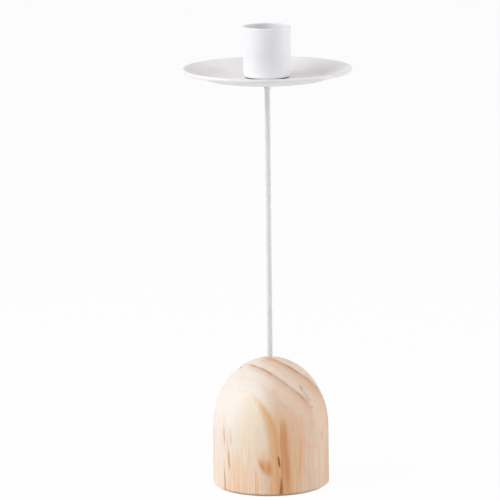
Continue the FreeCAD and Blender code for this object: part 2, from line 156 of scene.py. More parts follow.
def arc(centre, radii, first_deg, last_deg, count):
    """Points on an ellipse's arc about centre, without the last one."""
    angle = np.radians(first_deg + (last_deg - first_deg) * np.arange(count) / count)
    across = centre[0] + radii[0] * np.cos(angle)
    up = centre[1] + radii[1] * np.sin(angle)
    return np.stack([across, up], axis=1)


def turned(profile, angles, swell=0.0):
    """Carry a profile of (radius, height) round the axis; swell is added to the radius."""
    radius = profile[:, 0][:, None] + swell
    height = np.broadcast_to(profile[:, 1][:, None], np.broadcast(radius, angles).shape)
    return np.stack([radius * np.cos(angles), radius * np.sin(angles), height], axis=2)


def even_angles(count):
    """Columns at even angles, as one row."""
    return (2 * np.pi * np.arange(count) / count)[None, :]


def smoothstep(low, high, value):
    """0 below low, 1 above high, with a soft S between them."""
    share = np.clip((value - low) / (high - low), 0, 1)
    return share * share * (3 - 2 * share)


# %% [markdown]
# ## Node trees in plain steps
# A material is easier to read as sums than as a picture of wires, so a small helper adds
# one node per call. Any input takes a number, a colour or another node's output, and a
# plain value is set on the socket itself.


# %% Node helper
class Graph:
    """Adds nodes to one tree and wires them as they are made."""

    def __init__(self, tree):
        self.tree = tree

    def feed(self, socket, value):
        """Link another node's output to a socket, or set a plain value on it."""
        if isinstance(value, bpy.types.NodeSocket):
            self.tree.links.new(value, socket)
        else:
            socket.default_value = value

    def node(self, kind, inputs=None, **settings):
        """Add a node; inputs go to its sockets and settings to the node itself."""
        made = self.tree.nodes.new(kind)
        for name, value in settings.items():
            setattr(made, name, value)
        for name, value in (inputs or {}).items():
            self.feed(made.inputs[name], value)
        return made

    def math(self, operation, *values, clamp=False):
        """One step of arithmetic on numbers."""
        made = self.node("ShaderNodeMath", operation=operation, use_clamp=clamp)
        for socket, value in zip(made.inputs, values):
            self.feed(socket, value)
        return made.outputs[0]

    def times(self, first, *others):
        """The product of all values."""
        for other in others:
            first = self.math("MULTIPLY", first, other)
        return first

    def swing(self, value, size):
        """A value from 0 to 1 turned into one that swings about 0, by size from end to end."""
        return self.math("MULTIPLY_ADD", value, size, -size / 2)

    def slope(self, across, up):
        """How long a slope is that goes so far across and so far up."""
        square = self.math("MULTIPLY_ADD", across, across, self.times(up, up))
        return self.math("SQRT", square)

    def vector(self, operation, *values):
        """One step of arithmetic on vectors; a length and a dot product are numbers."""
        made = self.node("ShaderNodeVectorMath", operation=operation)
        for socket, value in zip(made.inputs, values):
            self.feed(socket, value)
        return made.outputs["Value" if operation in ("LENGTH", "DOT_PRODUCT") else "Vector"]

    def soft(self, value, low, high, start=0.0, end=1.0):
        """From start at low to end at high, with a soft S between."""
        made = self.node("ShaderNodeMapRange", interpolation_type="SMOOTHSTEP")
        for name, number in (
            ("Value", value), ("From Min", low), ("From Max", high),
            ("To Min", start), ("To Max", end),
        ):
            self.feed(made.inputs[name], number)
        return made.outputs["Result"]

    def tint(self, share, colour, other, mode="MIX"):
        """Lay another colour over one, by its share."""
        made = self.node("ShaderNodeMix", data_type="RGBA", blend_type=mode)
        for index, value in ((0, share), (6, colour), (7, other)):
            self.feed(made.inputs[index], value)
        return made.outputs[2]

    def noise(self, place, stretch=(1.0, 1.0, 1.0), detail=3.0, roughness=0.5):
        """Noise with its own scale along each axis, in cells per millimetre."""
        scaled = self.vector("MULTIPLY", place, stretch)
        inputs = {"Vector": scaled, "Scale": 1.0, "Detail": detail, "Roughness": roughness}
        return self.node("ShaderNodeTexNoise", inputs).outputs["Fac"]

    def parts(self, vector):
        """The X, Y and Z of a vector."""
        split = self.node("ShaderNodeSeparateXYZ", {"Vector": vector})
        return split.outputs["X"], split.outputs["Y"], split.outputs["Z"]

    def use(self, group, **inputs):
        """Place a shader group; an underscore in a name stands for a space."""
        made = self.node("ShaderNodeGroup", node_tree=group)
        for name, value in inputs.items():
            self.feed(made.inputs[name.replace("_", " ")], value)
        return made.outputs


NUMBER, ARROW = "NodeSocketFloat", "NodeSocketVector"


def new_group(name, inputs, outputs):
    """An empty shader group with named sockets: its graph, its inputs and its outputs."""
    tree = bpy.data.node_groups.new(name, "ShaderNodeTree")
    for socket, kind in inputs.items():
        tree.interface.new_socket(socket, in_out="INPUT", socket_type=kind)
    for socket, kind in outputs.items():
        tree.interface.new_socket(socket, in_out="OUTPUT", socket_type=kind)
    print("shader group", name, "gives", ", ".join(outputs))
    graph = Graph(tree)
    return graph, graph.node("NodeGroupInput").outputs, graph.node("NodeGroupOutput").inputs


def new_material(name):
    """A node material with only its output: its graph and the material."""
    material = bpy.data.materials.new(name)
    material.use_nodes = True
    material.node_tree.nodes.clear()
    graph = Graph(material.node_tree)
    return graph, material


def finish_with(graph, **inputs):
    """End a material in one Principled shader; a number goes straight onto its socket."""
    shader = graph.node("ShaderNodeBsdfPrincipled")
    for name, value in inputs.items():
        graph.feed(shader.inputs[name.replace("_", " ")], value)
    out = graph.node("ShaderNodeOutputMaterial")
    graph.tree.links.new(shader.outputs["BSDF"], out.inputs["Surface"])
    return shader


def place_mm(graph):
    """Object coordinates in millimetres."""
    where = graph.node("ShaderNodeTexCoord").outputs["Object"]
    return graph.vector("MULTIPLY", where, (1000.0, 1000.0, 1000.0))


def bumped(graph, height, distance_mm, strength=1.0):
    """A normal from a height that runs from 0 to 1, with its depth in millimetres."""
    inputs = {"Height": height, "Distance": distance_mm * MM, "Strength": strength}
    return graph.node("ShaderNodeBump", inputs).outputs["Normal"]


def dress(piece, material):
    """Give every face of a piece one material."""
    piece.data.materials.clear()
    piece.data.materials.append(material)
    print(piece.name, "wears", material.name)


# %% [markdown]
# ## The wood: a pale softwood with its heart off to one side
# The base was cut from a young trunk: its growth rings are upright cylinders about a pith
# that lies right of the stem and behind it. Where such a cylinder meets the dome it draws
# a long arc, and where it meets the drum it draws a nearly straight, upright band. So the
# rings are made in space, as distances from the pith, and not painted on the surface.
# What the rings can't give, the streaks of resin, the small cracks and the chipped edge,
# is a short list of marks, each with its place round the base (an arc length from the
# front, in millimetres) and its height; one broad mark on the left side is painted light
# from the left lamp. One list serves the colour and the carved relief.

# %% Growth rings and marks
FOOT_RADIUS, BASE_FOOT, BASE_TOP = measured("wood_base")
# the drum narrows by this much from its foot to its shoulder
DRUM_TAPER = 0.194
DRUM_RADIUS = FOOT_RADIUS - DRUM_TAPER
PITH = (14.65, 9.75)
PITH_HEIGHT = 60.0
RING_TAPER = 0.054
# waves of a ring: turns round the pith, radians per mm of height, start, size (mm)
RING_WAVES = ((3.0, 0.06, 0.0, 0.45), (5.0, -0.11, 1.3, 0.3))
# waves of a crack: radians per mm of height, start, size (mm)
STRAY_WAVES = ((0.8, 0.0, 0.1), (2.1, 1.0, 0.06))
# the rings show from this height up, and all the way down from this arc on
RING_RISE, RING_SIDE = (42.0, 58.0), (38.0, 50.0)
RING_PROUD, RING_GROOVE = 0.05, 0.02
RINGS = {
    # name: distance from the pith, width of the band beyond it, of the line, how marked
    "heart_ring": (9.0, 3.0, 0.4, 0.3),
    "inner_ring": (18.8, 7.5, 1.1, 0.95),
    "middle_ring": (24.4, 4.0, 0.4, 0.2),
    "outer_ring": (30.2, 4.4, 1.1, 0.6),
    "sap_ring": (37.0, 4.0, 0.4, 0.06),
}
MARKS = {
    # name: arc at foot, arc at top, foot height, top height, half width, curve, shade, share
    # not a stain: a paler zone on the left side, painted light where the left lamp falls
    "lit_side_painted_light": (-48.0, -47.0, -40.0, 90.0, 28.0, 1.0, "painted_light_cream", 0.95),
    "straw_zone": (-8.0, -12.0, 14.0, 60.0, 17.0, 1.0, "straw", 0.75),
    "warm_zone": (9.0, 7.0, -30.0, 54.0, 14.0, 1.0, "honey", 0.85),
    "amber_streak": (2.8, -16.0, -14.0, 58.0, 5.4, 7.0, "amber", 0.95),
    "amber_heart": (3.4, -15.0, -6.0, 57.0, 1.8, 6.6, "ochre", 0.45),
    "russet_streak": (10.4, 6.8, -20.0, 47.0, 4.6, 1.0, "russet", 0.95),
    "russet_heart": (9.2, 6.8, 2.0, 46.0, 2.4, 1.0, "rust", 0.6),
    "russet_seam": (6.4, 5.2, 6.0, 46.0, 0.9, 1.0, "rust", 0.6),
    "split_glow": (5.4, 5.4, -6.0, 13.0, 2.2, 1.0, "rust", 0.7),
    "right_streak": (15.4, 18.4, 0.0, 50.0, 4.6, 1.0, "amber", 0.55),
    "right_thread": (15.8, 17.6, 8.0, 34.0, 1.0, 1.0, "ochre", 0.5),
    "left_thread_a": (-29.4, -30.8, 20.0, 46.0, 1.5, 1.0, "peach", 0.9),
    "left_thread_b": (-25.4, -27.6, 10.0, 38.0, 1.5, 1.0, "honey", 0.6),
    "left_thread_c": (-29.0, -30.4, -8.0, 22.0, 1.4, 1.0, "honey", 0.7),
    "left_thread_d": (-24.0, -25.0, 26.0, 38.0, 1.0, 1.0, "honey", 0.5),
    "left_band_a": (-19.8, -18.8, -16.0, 26.0, 2.4, 1.0, "honey", 0.45),
    "left_band_b": (-15.6, -15.9, -10.0, 20.0, 1.7, 1.0, "honey", 0.5),
    "left_band_c": (-8.0, -8.6, -12.0, 18.0, 1.9, 1.0, "honey", 0.6),
    "left_band_d": (-12.2, -12.0, -6.0, 30.0, 1.6, 1.0, "peach", 0.6),
    "side_streak_a": (-47.0, -43.5, -12.0, 38.0, 3.4, 1.0, "amber", 0.5),
    "side_streak_b": (45.0, 43.0, -14.0, 30.0, 3.0, 1.0, "honey", 0.7),
    "back_streak_a": (92.0, 84.0, -14.0, 56.0, 4.2, 3.0, "amber", 0.75),
    "back_streak_b": (-84.0, -80.0, -20.0, 42.0, 5.0, 1.0, "honey", 0.9),
    "back_streak_c": (-81.0, -80.0, -10.0, 36.0, 1.8, 1.0, "rust", 0.5),
    "back_streak_d": (66.0, 64.0, -8.0, 34.0, 2.2, 1.0, "ochre", 0.5),
}
CRACKS = {
    # name: the same six numbers, depth (mm), shade, share
    "slit": (5.0, 3.5, 15.6, 23.8, 0.9, 1.0, 0.5, "char", 0.85),
    "slit_thread": (5.2, 6.1, -2.0, 26.0, 0.7, 1.0, 0.05, "bark", 0.3),
    "split": (5.3, 5.3, -10.0, 11.0, 1.7, 1.0, 0.4, "bark", 0.8),
    "left_crack_a": (-29.6, -30.3, 26.5, 37.0, 1.1, 1.0, 0.12, "bark", 0.35),
    "left_crack_b": (-25.4, -26.8, 13.0, 25.0, 0.9, 1.0, 0.18, "bark", 0.6),
    "left_crack_c": (-29.1, -30.0, -6.0, 15.0, 0.9, 1.0, 0.18, "bark", 0.65),
    "left_crack_d": (-24.3, -24.9, 28.0, 35.5, 0.8, 1.0, 0.15, "bark", 0.25),
    "side_crack_a": (-62.0, -61.2, -6.0, 18.0, 1.0, 1.0, 0.3, "bark", 0.7),
    "side_crack_b": (58.4, 57.6, 5.0, 21.0, 1.0, 1.0, 0.3, "bark", 0.6),
    "back_crack": (90.6, 89.6, 6.0, 24.0, 1.0, 1.0, 0.5, "char", 0.7),
}
SPOTS = {
    # name: arc, height, half width, half height, lean, shade, share
    "knot_haze": (-2.4, 18.4, 5.8, 9.5, -0.2, "honey", 0.85),
    "knot_body": (-3.0, 16.8, 4.2, 6.6, -0.25, "ochre", 0.85),
    "knot_left": (-4.9, 17.2, 2.0, 4.6, -0.4, "ember", 0.9),
    "knot_right": (-1.3, 15.0, 2.4, 6.6, 0.0, "ember", 0.95),
    "pin_a": (24.3, 58.2, 1.6, 2.1, 0.0, "slate", 0.7),
    "pin_haze": (26.0, 54.0, 2.6, 6.0, -0.25, "slate", 0.3),
    "pin_b": (27.6, 47.4, 2.0, 1.4, 0.0, "slate", 0.55),
    "pin_c": (34.2, 31.0, 1.3, 4.0, 0.0, "slate", 0.4),
    "back_knot_haze": (76.0, 38.0, 4.6, 8.0, 0.1, "honey", 0.7),
    "back_knot": (76.0, 37.0, 2.2, 3.4, 0.2, "rust", 0.85),
    "side_knot": (-70.0, 24.0, 1.9, 3.2, -0.2, "ochre", 0.8),
}
CHIP_AT = (-16.3, -0.6, 66.3)
CHIP_SIZE = (2.5, 2.4, 1.0)
CHIP_DEPTH = 0.9
MARK_SOFTNESS, CRACK_SOFTNESS = 0.9, 1.0
MARK_FADE, CRACK_FADE = 0.65, 0.9
print(len(RINGS), "rings,", len(MARKS), "streaks,", len(SPOTS), "spots,", len(CRACKS), "cracks")


# %% Relief of the wood, as numbers
def pith_distance(x, y, z):
    """Distance from the leaning pith, less its taper, with two slow waves round the trunk."""
    across, back = x - PITH[0], y - PITH[1]
    turn = np.arctan2(back, across)
    waves = sum(
        size * np.sin(turns * turn + climb * z + start) for turns, climb, start, size in RING_WAVES
    )
    return np.hypot(across, back) + RING_TAPER * (z - PITH_HEIGHT) + waves


def mark_mask(mark, around, z, softness, fade):
    """1 on the mark's middle line, 0 past its half width; it narrows and fades to its ends."""
    foot_arc, top_arc, foot, top, half, curve = mark
    share = np.clip((z - foot) / (top - foot), 0, 1)
    middle = foot_arc + (top_arc - foot_arc) * share ** curve
    lens = 4 * share * (1 - share)
    width = half * lens ** 0.35 + 1e-6
    mask = 1 - smoothstep(1 - softness, 1, np.abs(around - middle) / width)
    return mask * smoothstep(0, fade, lens)


def wood_relief(x, y, z):
    """Millimetres outwards: hard ring bands stand proud, ring lines, cracks and chip sink."""
    distance = pith_distance(x, y, z)
    around = DRUM_RADIUS * np.arctan2(x, -y)
    rings = np.zeros_like(distance)
    for radius, band, thin, marked in RINGS.values():
        past = distance - radius
        rings += RING_PROUD * marked * (1 - smoothstep(0, band, past)) * (past > 0)
        rings -= RING_GROOVE * marked * (1 - smoothstep(0, thin, np.abs(past)))
    shown = np.maximum(smoothstep(*RING_RISE, z), smoothstep(*RING_SIDE, np.abs(around)))
    height = rings * shown
    strayed = around + sum(size * np.sin(climb * z + start) for climb, start, size in STRAY_WAVES)
    for *lie, depth, _, _ in CRACKS.values():
        height -= depth * mark_mask(lie, strayed, z, CRACK_SOFTNESS, CRACK_FADE)
    away = [(p - c) / size for p, c, size in zip((x, y, z), CHIP_AT, CHIP_SIZE)]
    height -= CHIP_DEPTH * (1 - smoothstep(0.2, 1.0, np.sqrt(sum(a * a for a in away))))
    return height


# %% [markdown]
# ### The turned base
# The real one is turned between centres, sanded and drilled from below. Its section is a
# drum, a very little wider at its foot, that closes in half an upright ellipse. The grid
# runs once round that section, bore and pocket included, so the piece is a closed ring of
# wood. Columns crowd together at the front, where most of the cracks are, and the relief is
# added along the section's own normal. A Displace modifier with a painted map could press
# the cracks in as well, but a formula keeps them sharp and in step with their colour.

# %% Turned base
STEM_RADIUS, STEM_FOOT, STEM_TOP = measured("stem_rod")
INSERT_TOP = measured("threaded_insert")[2]
DRUM_HEIGHT, EDGE_ROUND = 32.1, 1.0
STEM_GAP, INSERT_HOLE, POCKET, POCKET_DEPTH = 0.1, 3.05, 9.0, 8.0
BORE = STEM_RADIUS + STEM_GAP
BASE_SHOULDER = BASE_FOOT + DRUM_HEIGHT
POCKET_ROOF = BASE_FOOT + POCKET_DEPTH
UNDERSIDE_ROWS, EDGE_ROWS, DRUM_ROWS, DOME_ROWS = 14, 6, 60, 108
OUTSIDE_ROWS = UNDERSIDE_ROWS + EDGE_ROWS + DRUM_ROWS + DOME_ROWS
# the relief fades in over these heights above the foot and distances from the bore
FOOT_FADE, BORE_FADE = (-0.1, 0.6), (0.2, 1.4)


def base_profile():
    """The wood's section: underside, rounded edge, drum, half ellipse, bore and pocket.

    The half ellipse ends at the bore, so the wood's top is a little below the ellipse's own.
    """
    last_deg = math.degrees(math.acos(BORE / DRUM_RADIUS))
    dome = (DRUM_RADIUS, (BASE_TOP - BASE_SHOULDER) / math.sin(math.radians(last_deg)))
    edge = (FOOT_RADIUS - EDGE_ROUND, BASE_FOOT + EDGE_ROUND)
    return np.concatenate([
        line((POCKET, BASE_FOOT), (edge[0], BASE_FOOT), UNDERSIDE_ROWS),
        arc(edge, (EDGE_ROUND, EDGE_ROUND), -90, 0, EDGE_ROWS),
        line((FOOT_RADIUS, edge[1]), (DRUM_RADIUS, BASE_SHOULDER), DRUM_ROWS),
        arc((0, BASE_SHOULDER), dome, 0, last_deg, DOME_ROWS),
        line((BORE, BASE_TOP), (BORE, INSERT_TOP), 6),
        line((BORE, INSERT_TOP), (INSERT_HOLE, INSERT_TOP), 2),
        line((INSERT_HOLE, INSERT_TOP), (INSERT_HOLE, POCKET_ROOF), 4),
        line((INSERT_HOLE, POCKET_ROOF), (POCKET, POCKET_ROOF), 4),
        line((POCKET, POCKET_ROOF), (POCKET, BASE_FOOT), 4),
    ])


def crowded_angles(count, middle_deg, spread_deg, crowding):
    """Columns at angles that lie closer together about middle_deg, by a smooth density."""
    turn = np.linspace(-180, 180, 1441)
    density = 1 + crowding * np.exp(-((turn / spread_deg) ** 4))
    share = np.concatenate([[0], np.cumsum((density[1:] + density[:-1]) / 2)])
    at = np.interp(np.arange(count) / count, share / share[-1], turn)
    return np.radians(at + middle_deg)[None, :]


profile = base_profile()
columns = crowded_angles(count=440, middle_deg=-90.0, spread_deg=75.0, crowding=1.6)
rows = turned(profile, columns)
before, after = np.roll(profile, 1, axis=0), np.roll(profile, -1, axis=0)
along = (after - before) / np.linalg.norm(after - before, axis=1, keepdims=True)
outside = smoothstep(*FOOT_FADE, profile[:, 1] - BASE_FOOT)
outside *= smoothstep(*BORE_FADE, profile[:, 0] - BORE)
outside[OUTSIDE_ROWS:] = 0
proud = wood_relief(rows[..., 0], rows[..., 1], rows[..., 2]) * outside[:, None]
normal = np.stack([
    along[:, 1][:, None] * np.cos(columns),
    along[:, 1][:, None] * np.sin(columns),
    np.broadcast_to(-along[:, 0][:, None], (len(profile), columns.shape[1])),
], axis=2)
rows = rows + normal * proud[..., None]
turned_base = solid_from_rows("turned_base", rows, looped=True)
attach(turned_base, "root")
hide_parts("wood_base")
print("relief:", round(float(proud.min()), 2), "to", round(float(proud.max()), 2), "mm")

# %% [markdown]
# ### Shader groups for wood
# Four small groups carry the figure. One gives the distance from the pith and the place
# round the base, with the same waves as the relief. One draws a growth ring: a thin, dark
# line with a warm band beyond it that pales outwards. One draws a mark from the list, and
# one a soft oval, for knots and stains. They put out masks only: the colours are mixed in
# the material.


# %% Wood groups
def build_wood_place():
    """Distance from the pith, arc length round the base, the arc as cracks stray, height."""
    graph, given, out = new_group(
        "wood_place",
        {"Place": ARROW},
        {"Distance": NUMBER, "Arc": NUMBER, "Strayed": NUMBER, "Height": NUMBER},
    )
    x, y, z = graph.parts(given["Place"])
    across = graph.math("SUBTRACT", x, PITH[0])
    back = graph.math("SUBTRACT", y, PITH[1])
    turn = graph.math("ARCTAN2", back, across)
    taper = graph.times(graph.math("SUBTRACT", z, PITH_HEIGHT), RING_TAPER)
    distance = graph.math("ADD", graph.slope(across, back), taper)
    for turns, climb, start, size in RING_WAVES:
        phase = graph.math("MULTIPLY_ADD", turn, turns, graph.math("MULTIPLY_ADD", z, climb, start))
        distance = graph.math("MULTIPLY_ADD", graph.math("SINE", phase), size, distance)
    graph.feed(out["Distance"], distance)
    strayed = graph.times(graph.math("ARCTAN2", x, graph.times(y, -1.0)), DRUM_RADIUS)
    graph.feed(out["Arc"], strayed)
    for climb, start, size in STRAY_WAVES:
        wave = graph.math("SINE", graph.math("MULTIPLY_ADD", z, climb, start))
        strayed = graph.math("MULTIPLY_ADD", wave, size, strayed)
    graph.feed(out["Strayed"], strayed)
    graph.feed(out["Height"], z)
    return graph.tree


def build_growth_ring():
    """Line: 1 on the ring itself. Band: 1 just beyond it, then down to 0 over its width."""
    graph, given, out = new_group(
        "growth_ring",
        {"Distance": NUMBER, "Radius": NUMBER, "Band": NUMBER, "Line": NUMBER},
        {"Band": NUMBER, "Line": NUMBER},
    )
    past = graph.math("SUBTRACT", given["Distance"], given["Radius"])
    begun = graph.soft(past, -0.35, 0.0)
    paled = graph.soft(past, 0.0, given["Band"], 1.0, 0.0)
    graph.feed(out["Band"], graph.times(begun, paled))
    near = graph.math("ABSOLUTE", past)
    graph.feed(out["Line"], graph.soft(near, 0.0, given["Line"], 1.0, 0.0))
    return graph.tree


def build_grain_mark():
    """The same mask as mark_mask, from sockets."""
    names = (
        "Arc", "Height", "Foot Arc", "Top Arc", "Foot", "Top", "Half", "Curve", "Softness", "Fade"
    )
    graph, given, out = new_group("grain_mark", dict.fromkeys(names, NUMBER), {"Mask": NUMBER})
    span = graph.math("SUBTRACT", given["Top"], given["Foot"])
    climbed = graph.math("SUBTRACT", given["Height"], given["Foot"])
    share = graph.math("DIVIDE", climbed, span, clamp=True)
    bend = graph.math("POWER", share, given["Curve"])
    sweep = graph.math("SUBTRACT", given["Top Arc"], given["Foot Arc"])
    middle = graph.math("MULTIPLY_ADD", sweep, bend, given["Foot Arc"])
    lens = graph.times(share, graph.math("SUBTRACT", 1.0, share), 4.0)
    width = graph.math("MULTIPLY_ADD", graph.math("POWER", lens, 0.35), given["Half"], 1e-6)
    off = graph.math("ABSOLUTE", graph.math("SUBTRACT", given["Arc"], middle))
    edge = graph.math("SUBTRACT", 1.0, given["Softness"])
    mask = graph.soft(graph.math("DIVIDE", off, width), edge, 1.0, 1.0, 0.0)
    graph.feed(out["Mask"], graph.times(mask, graph.soft(lens, 0.0, given["Fade"])))
    return graph.tree


SPOT_PARTS = ("At_Arc", "At_Height", "Half", "Rise", "Lean")


def build_soft_spot():
    """1 in the middle of a leaning oval, 0 past its edge, which the noise pushes in and out."""
    names = ("Arc", "Height", "Edge", *(part.replace("_", " ") for part in SPOT_PARTS))
    graph, given, out = new_group("soft_spot", dict.fromkeys(names, NUMBER), {"Mask": NUMBER})
    up = graph.math("SUBTRACT", given["Height"], given["At Height"])
    leant = graph.math("MULTIPLY_ADD", up, given["Lean"], given["At Arc"])
    across = graph.math("DIVIDE", graph.math("SUBTRACT", given["Arc"], leant), given["Half"])
    along = graph.math("DIVIDE", up, given["Rise"])
    away = graph.math("ADD", graph.slope(across, along), graph.swing(given["Edge"], 0.8))
    graph.feed(out["Mask"], graph.soft(away, 0.1, 1.0, 1.0, 0.0))
    return graph.tree


WOOD_PLACE = build_wood_place()
GROWTH_RING = build_growth_ring()
GRAIN_MARK = build_grain_mark()
SOFT_SPOT = build_soft_spot()


def linear(red, green, blue):
    """A colour as it is seen on a screen, 0 to 255, as the shader wants it."""
    seen = np.array([red, green, blue]) / 255
    low = seen / 12.92
    high = ((seen + 0.055) / 1.055) ** 2.4
    return (*np.where(seen <= 0.04045, low, high).tolist(), 1.0)


# %% [markdown]
# ### The wood's finish
# Sanded and left nearly bare: a broad, weak sheen and no varnish. Colour starts from pale
# sap wood, warmer towards the foot, and pinker heart wood right of the stem, on the pith's
# side; that right half is also painted shade, away from the left lamp, and a paler zone on
# the left side is painted light where that lamp falls. The growth rings, the marks and
# spots, the fine hairs and pores and at last the cracks and the chip are each mixed over
# what lies below. The fibres, a noise drawn out upwards, break up the edge of every mark,
# as they do in stained wood. An image of real wood would be quicker, but it would show a
# seam on a turned dome and couldn't follow the rings into the piece.

# %% Wood material
SAP = linear(249, 241, 233)
# heart wood, also painted shade on the right half, away from the left lamp
HEART_AND_SHADE = linear(233, 205, 181)
DOME_PALE = linear(240, 227, 214)
LATE_WOOD = linear(216, 170, 134)
RING_LINE = linear(166, 114, 78)
CHIP_GREY = linear(116, 110, 116)
SHADES = {
    # painted light of the left lamp, for the left side's paler zone
    "painted_light_cream": linear(249, 238, 228),
    "straw": linear(248, 228, 199),
    "peach": linear(249, 216, 188),
    "rose": linear(232, 178, 150),
    "honey": linear(236, 193, 149),
    "amber": linear(236, 182, 130),
    "ochre": linear(222, 164, 108),
    "russet": linear(225, 164, 114),
    "rust": linear(210, 138, 86),
    "ember": linear(220, 144, 86),
    "bark": linear(136, 88, 60),
    "slate": linear(158, 128, 118),
    "char": linear(92, 46, 14),
}


def mark_inputs(lie, softness, fade):
    """The six numbers of a mark as named sockets."""
    names = ("Foot_Arc", "Top_Arc", "Foot", "Top", "Half", "Curve")
    return {**dict(zip(names, lie)), "Softness": softness, "Fade": fade}


def build_wood():
    """Sap and heart wood, also painted light and shade, then rings, marks, spots, hairs and cracks,
    each over the last.
    """
    graph, material = new_material("sanded_softwood")
    place = place_mm(graph)
    spot = graph.use(WOOD_PLACE, Place=place)

    # noises, each with its cells per millimetre; most are drawn out along the grain
    fibre = graph.noise(place, (1.7, 1.7, 0.04), 3.0, 0.6)
    bands = graph.noise(place, (0.45, 0.45, 0.014), 2.0, 0.5)
    hairs = graph.noise(place, (2.6, 2.6, 0.03), 1.0, 0.5)
    mottle = graph.noise(place, (0.22, 0.22, 0.13), 3.0, 0.6)

    # what the noises push about: the rings, the marks' edges and the zones of colour
    distance = graph.math("ADD", spot["Distance"], graph.swing(fibre, 0.6))
    wander = graph.swing(graph.noise(place, (0.35, 0.35, 0.06), 3.0, 0.6), 3.0)
    around = graph.math("ADD", spot["Arc"], wander)
    cloud = graph.swing(mottle, 9.0)
    climbed = graph.math("MULTIPLY_ADD", bands, 44.0, spot["Height"])
    low = graph.soft(climbed, 72.0, 26.0)

    # sap wood and heart wood, paler on the dome; right of the stem the heart wood is
    # also painted shade, away from the left lamp
    rise = graph.times(low, graph.soft(bands, 0.3, 0.6, 0.75, 1.0))
    sapwood = graph.tint(rise, SAP, SHADES["peach"])
    across = graph.parts(place)[0]
    # split by side, right of the stem: partly heart wood, partly painted shade
    heart_and_shade = graph.soft(graph.math("ADD", across, cloud), -10.0, 4.0)
    colour = graph.tint(heart_and_shade, sapwood, HEART_AND_SHADE)
    dome = graph.soft(graph.math("ADD", spot["Height"], cloud), 50.0, 66.0, 0.0, 0.6)
    colour = graph.tint(dome, colour, DOME_PALE)
    blush = graph.soft(graph.noise(place, (0.16, 0.16, 0.09), 2.0), 0.5, 0.66, 0.0, 0.35)
    colour = graph.tint(graph.times(blush, heart_and_shade), colour, SHADES["rose"])
    veins = graph.times(graph.soft(bands, 0.5, 0.7), low, 0.28)
    colour = graph.tint(veins, colour, LATE_WOOD)

    # growth rings: a warm band beyond each, and a dark line that comes and goes
    off_front = graph.soft(graph.math("ABSOLUTE", spot["Arc"]), *RING_SIDE)
    ring_fade = graph.math("MAXIMUM", graph.soft(spot["Height"], *RING_RISE), off_front)
    patches = graph.noise(place, (0.11, 0.11, 0.09), 2.0, 0.5)
    line_fade = graph.times(ring_fade, graph.soft(patches, 0.38, 0.6, 0.35, 1.0))
    band_fade = graph.math("MULTIPLY_ADD", ring_fade, 0.8, 0.2)
    for radius, band, thin, marked in RINGS.values():
        ring = graph.use(GROWTH_RING, Distance=distance, Radius=radius, Band=band, Line=thin)
        colour = graph.tint(graph.times(ring["Band"], marked, band_fade), colour, LATE_WOOD)
        colour = graph.tint(graph.times(ring["Line"], line_fade, marked), colour, RING_LINE)

    # streaks, knots and pins from the list, and the painted light on the left side
    strands = graph.soft(fibre, 0.25, 0.6, 0.6, 1.0)
    for *lie, shade, share in MARKS.values():
        mask = graph.use(GRAIN_MARK, Arc=around, Height=spot["Height"],
                         **mark_inputs(lie, MARK_SOFTNESS, MARK_FADE))
        colour = graph.tint(graph.times(mask["Mask"], share, strands), colour, SHADES[shade])
    stained = graph.math("MULTIPLY_ADD", wander, 0.4, spot["Arc"])
    for *lie, shade, share in SPOTS.values():
        mask = graph.use(SOFT_SPOT, Arc=stained, Height=spot["Height"], Edge=mottle,
                         **dict(zip(SPOT_PARTS, lie)))
        colour = graph.tint(graph.times(mask["Mask"], share, strands), colour, SHADES[shade])

    # hairs, pores and the fibres' own light and shade
    thin_hairs = graph.times(graph.soft(hairs, 0.56, 0.7, 0.0, 0.5), low)
    colour = graph.tint(thin_hairs, colour, SHADES["ochre"])
    pores = graph.soft(graph.noise(place, (0.9, 0.9, 0.5), 2.0, 0.6), 0.62, 0.74, 0.0, 0.3)
    colour = graph.tint(graph.times(pores, heart_and_shade), colour, SHADES["slate"])
    grey = graph.soft(fibre, 0.3, 0.7, 0.93, 1.03)
    tone = graph.node("ShaderNodeCombineXYZ", {"X": grey, "Y": grey, "Z": grey}).outputs[0]
    colour = graph.tint(1.0, colour, tone, "MULTIPLY")

    # cracks and the chip, over everything else
    for *lie, _, shade, share in CRACKS.values():
        mask = graph.use(GRAIN_MARK, Arc=spot["Strayed"], Height=spot["Height"],
                         **mark_inputs(lie, CRACK_SOFTNESS, CRACK_FADE))
        colour = graph.tint(graph.times(mask["Mask"], share), colour, SHADES[shade])
    away = graph.vector("SUBTRACT", place, CHIP_AT)
    away = graph.vector("LENGTH", graph.vector("DIVIDE", away, CHIP_SIZE))
    colour = graph.tint(graph.soft(away, 1.0, 0.4, 0.0, 0.85), colour, CHIP_GREY)

    finish_with(
        graph,
        Base_Color=colour,
        Roughness=graph.soft(fibre, 0.3, 0.7, 0.62, 0.5),
        Normal=bumped(graph, fibre, 0.06, 0.6),
    )
    return material


dress(turned_base, build_wood())

# %% [markdown]
# ## The felt under the base
# A disc of pressed wool, stamped out and glued on, so that the wood doesn't scratch a table.
# The construction model has it as a plain disc. Here its cut edge is a little uneven, as a
# stamped edge is, by a sum of sines round the rim. A particle system could grow real hairs,
# but at 1.2 mm thick only its matt edge ever shows.

# %% Felt disc
FELT_RADIUS, _, FELT_THICK = measured("foot_pad")
FELT_ROUND, FELT_MIDDLE = 0.35, 2.0
# the rim's waves per turn, their size and how far the stamp pulls the rim in (mm)
FELT_WAVES = (7, 17, 31, 53)
FELT_WAVER, FELT_PULL = 0.045, 0.06


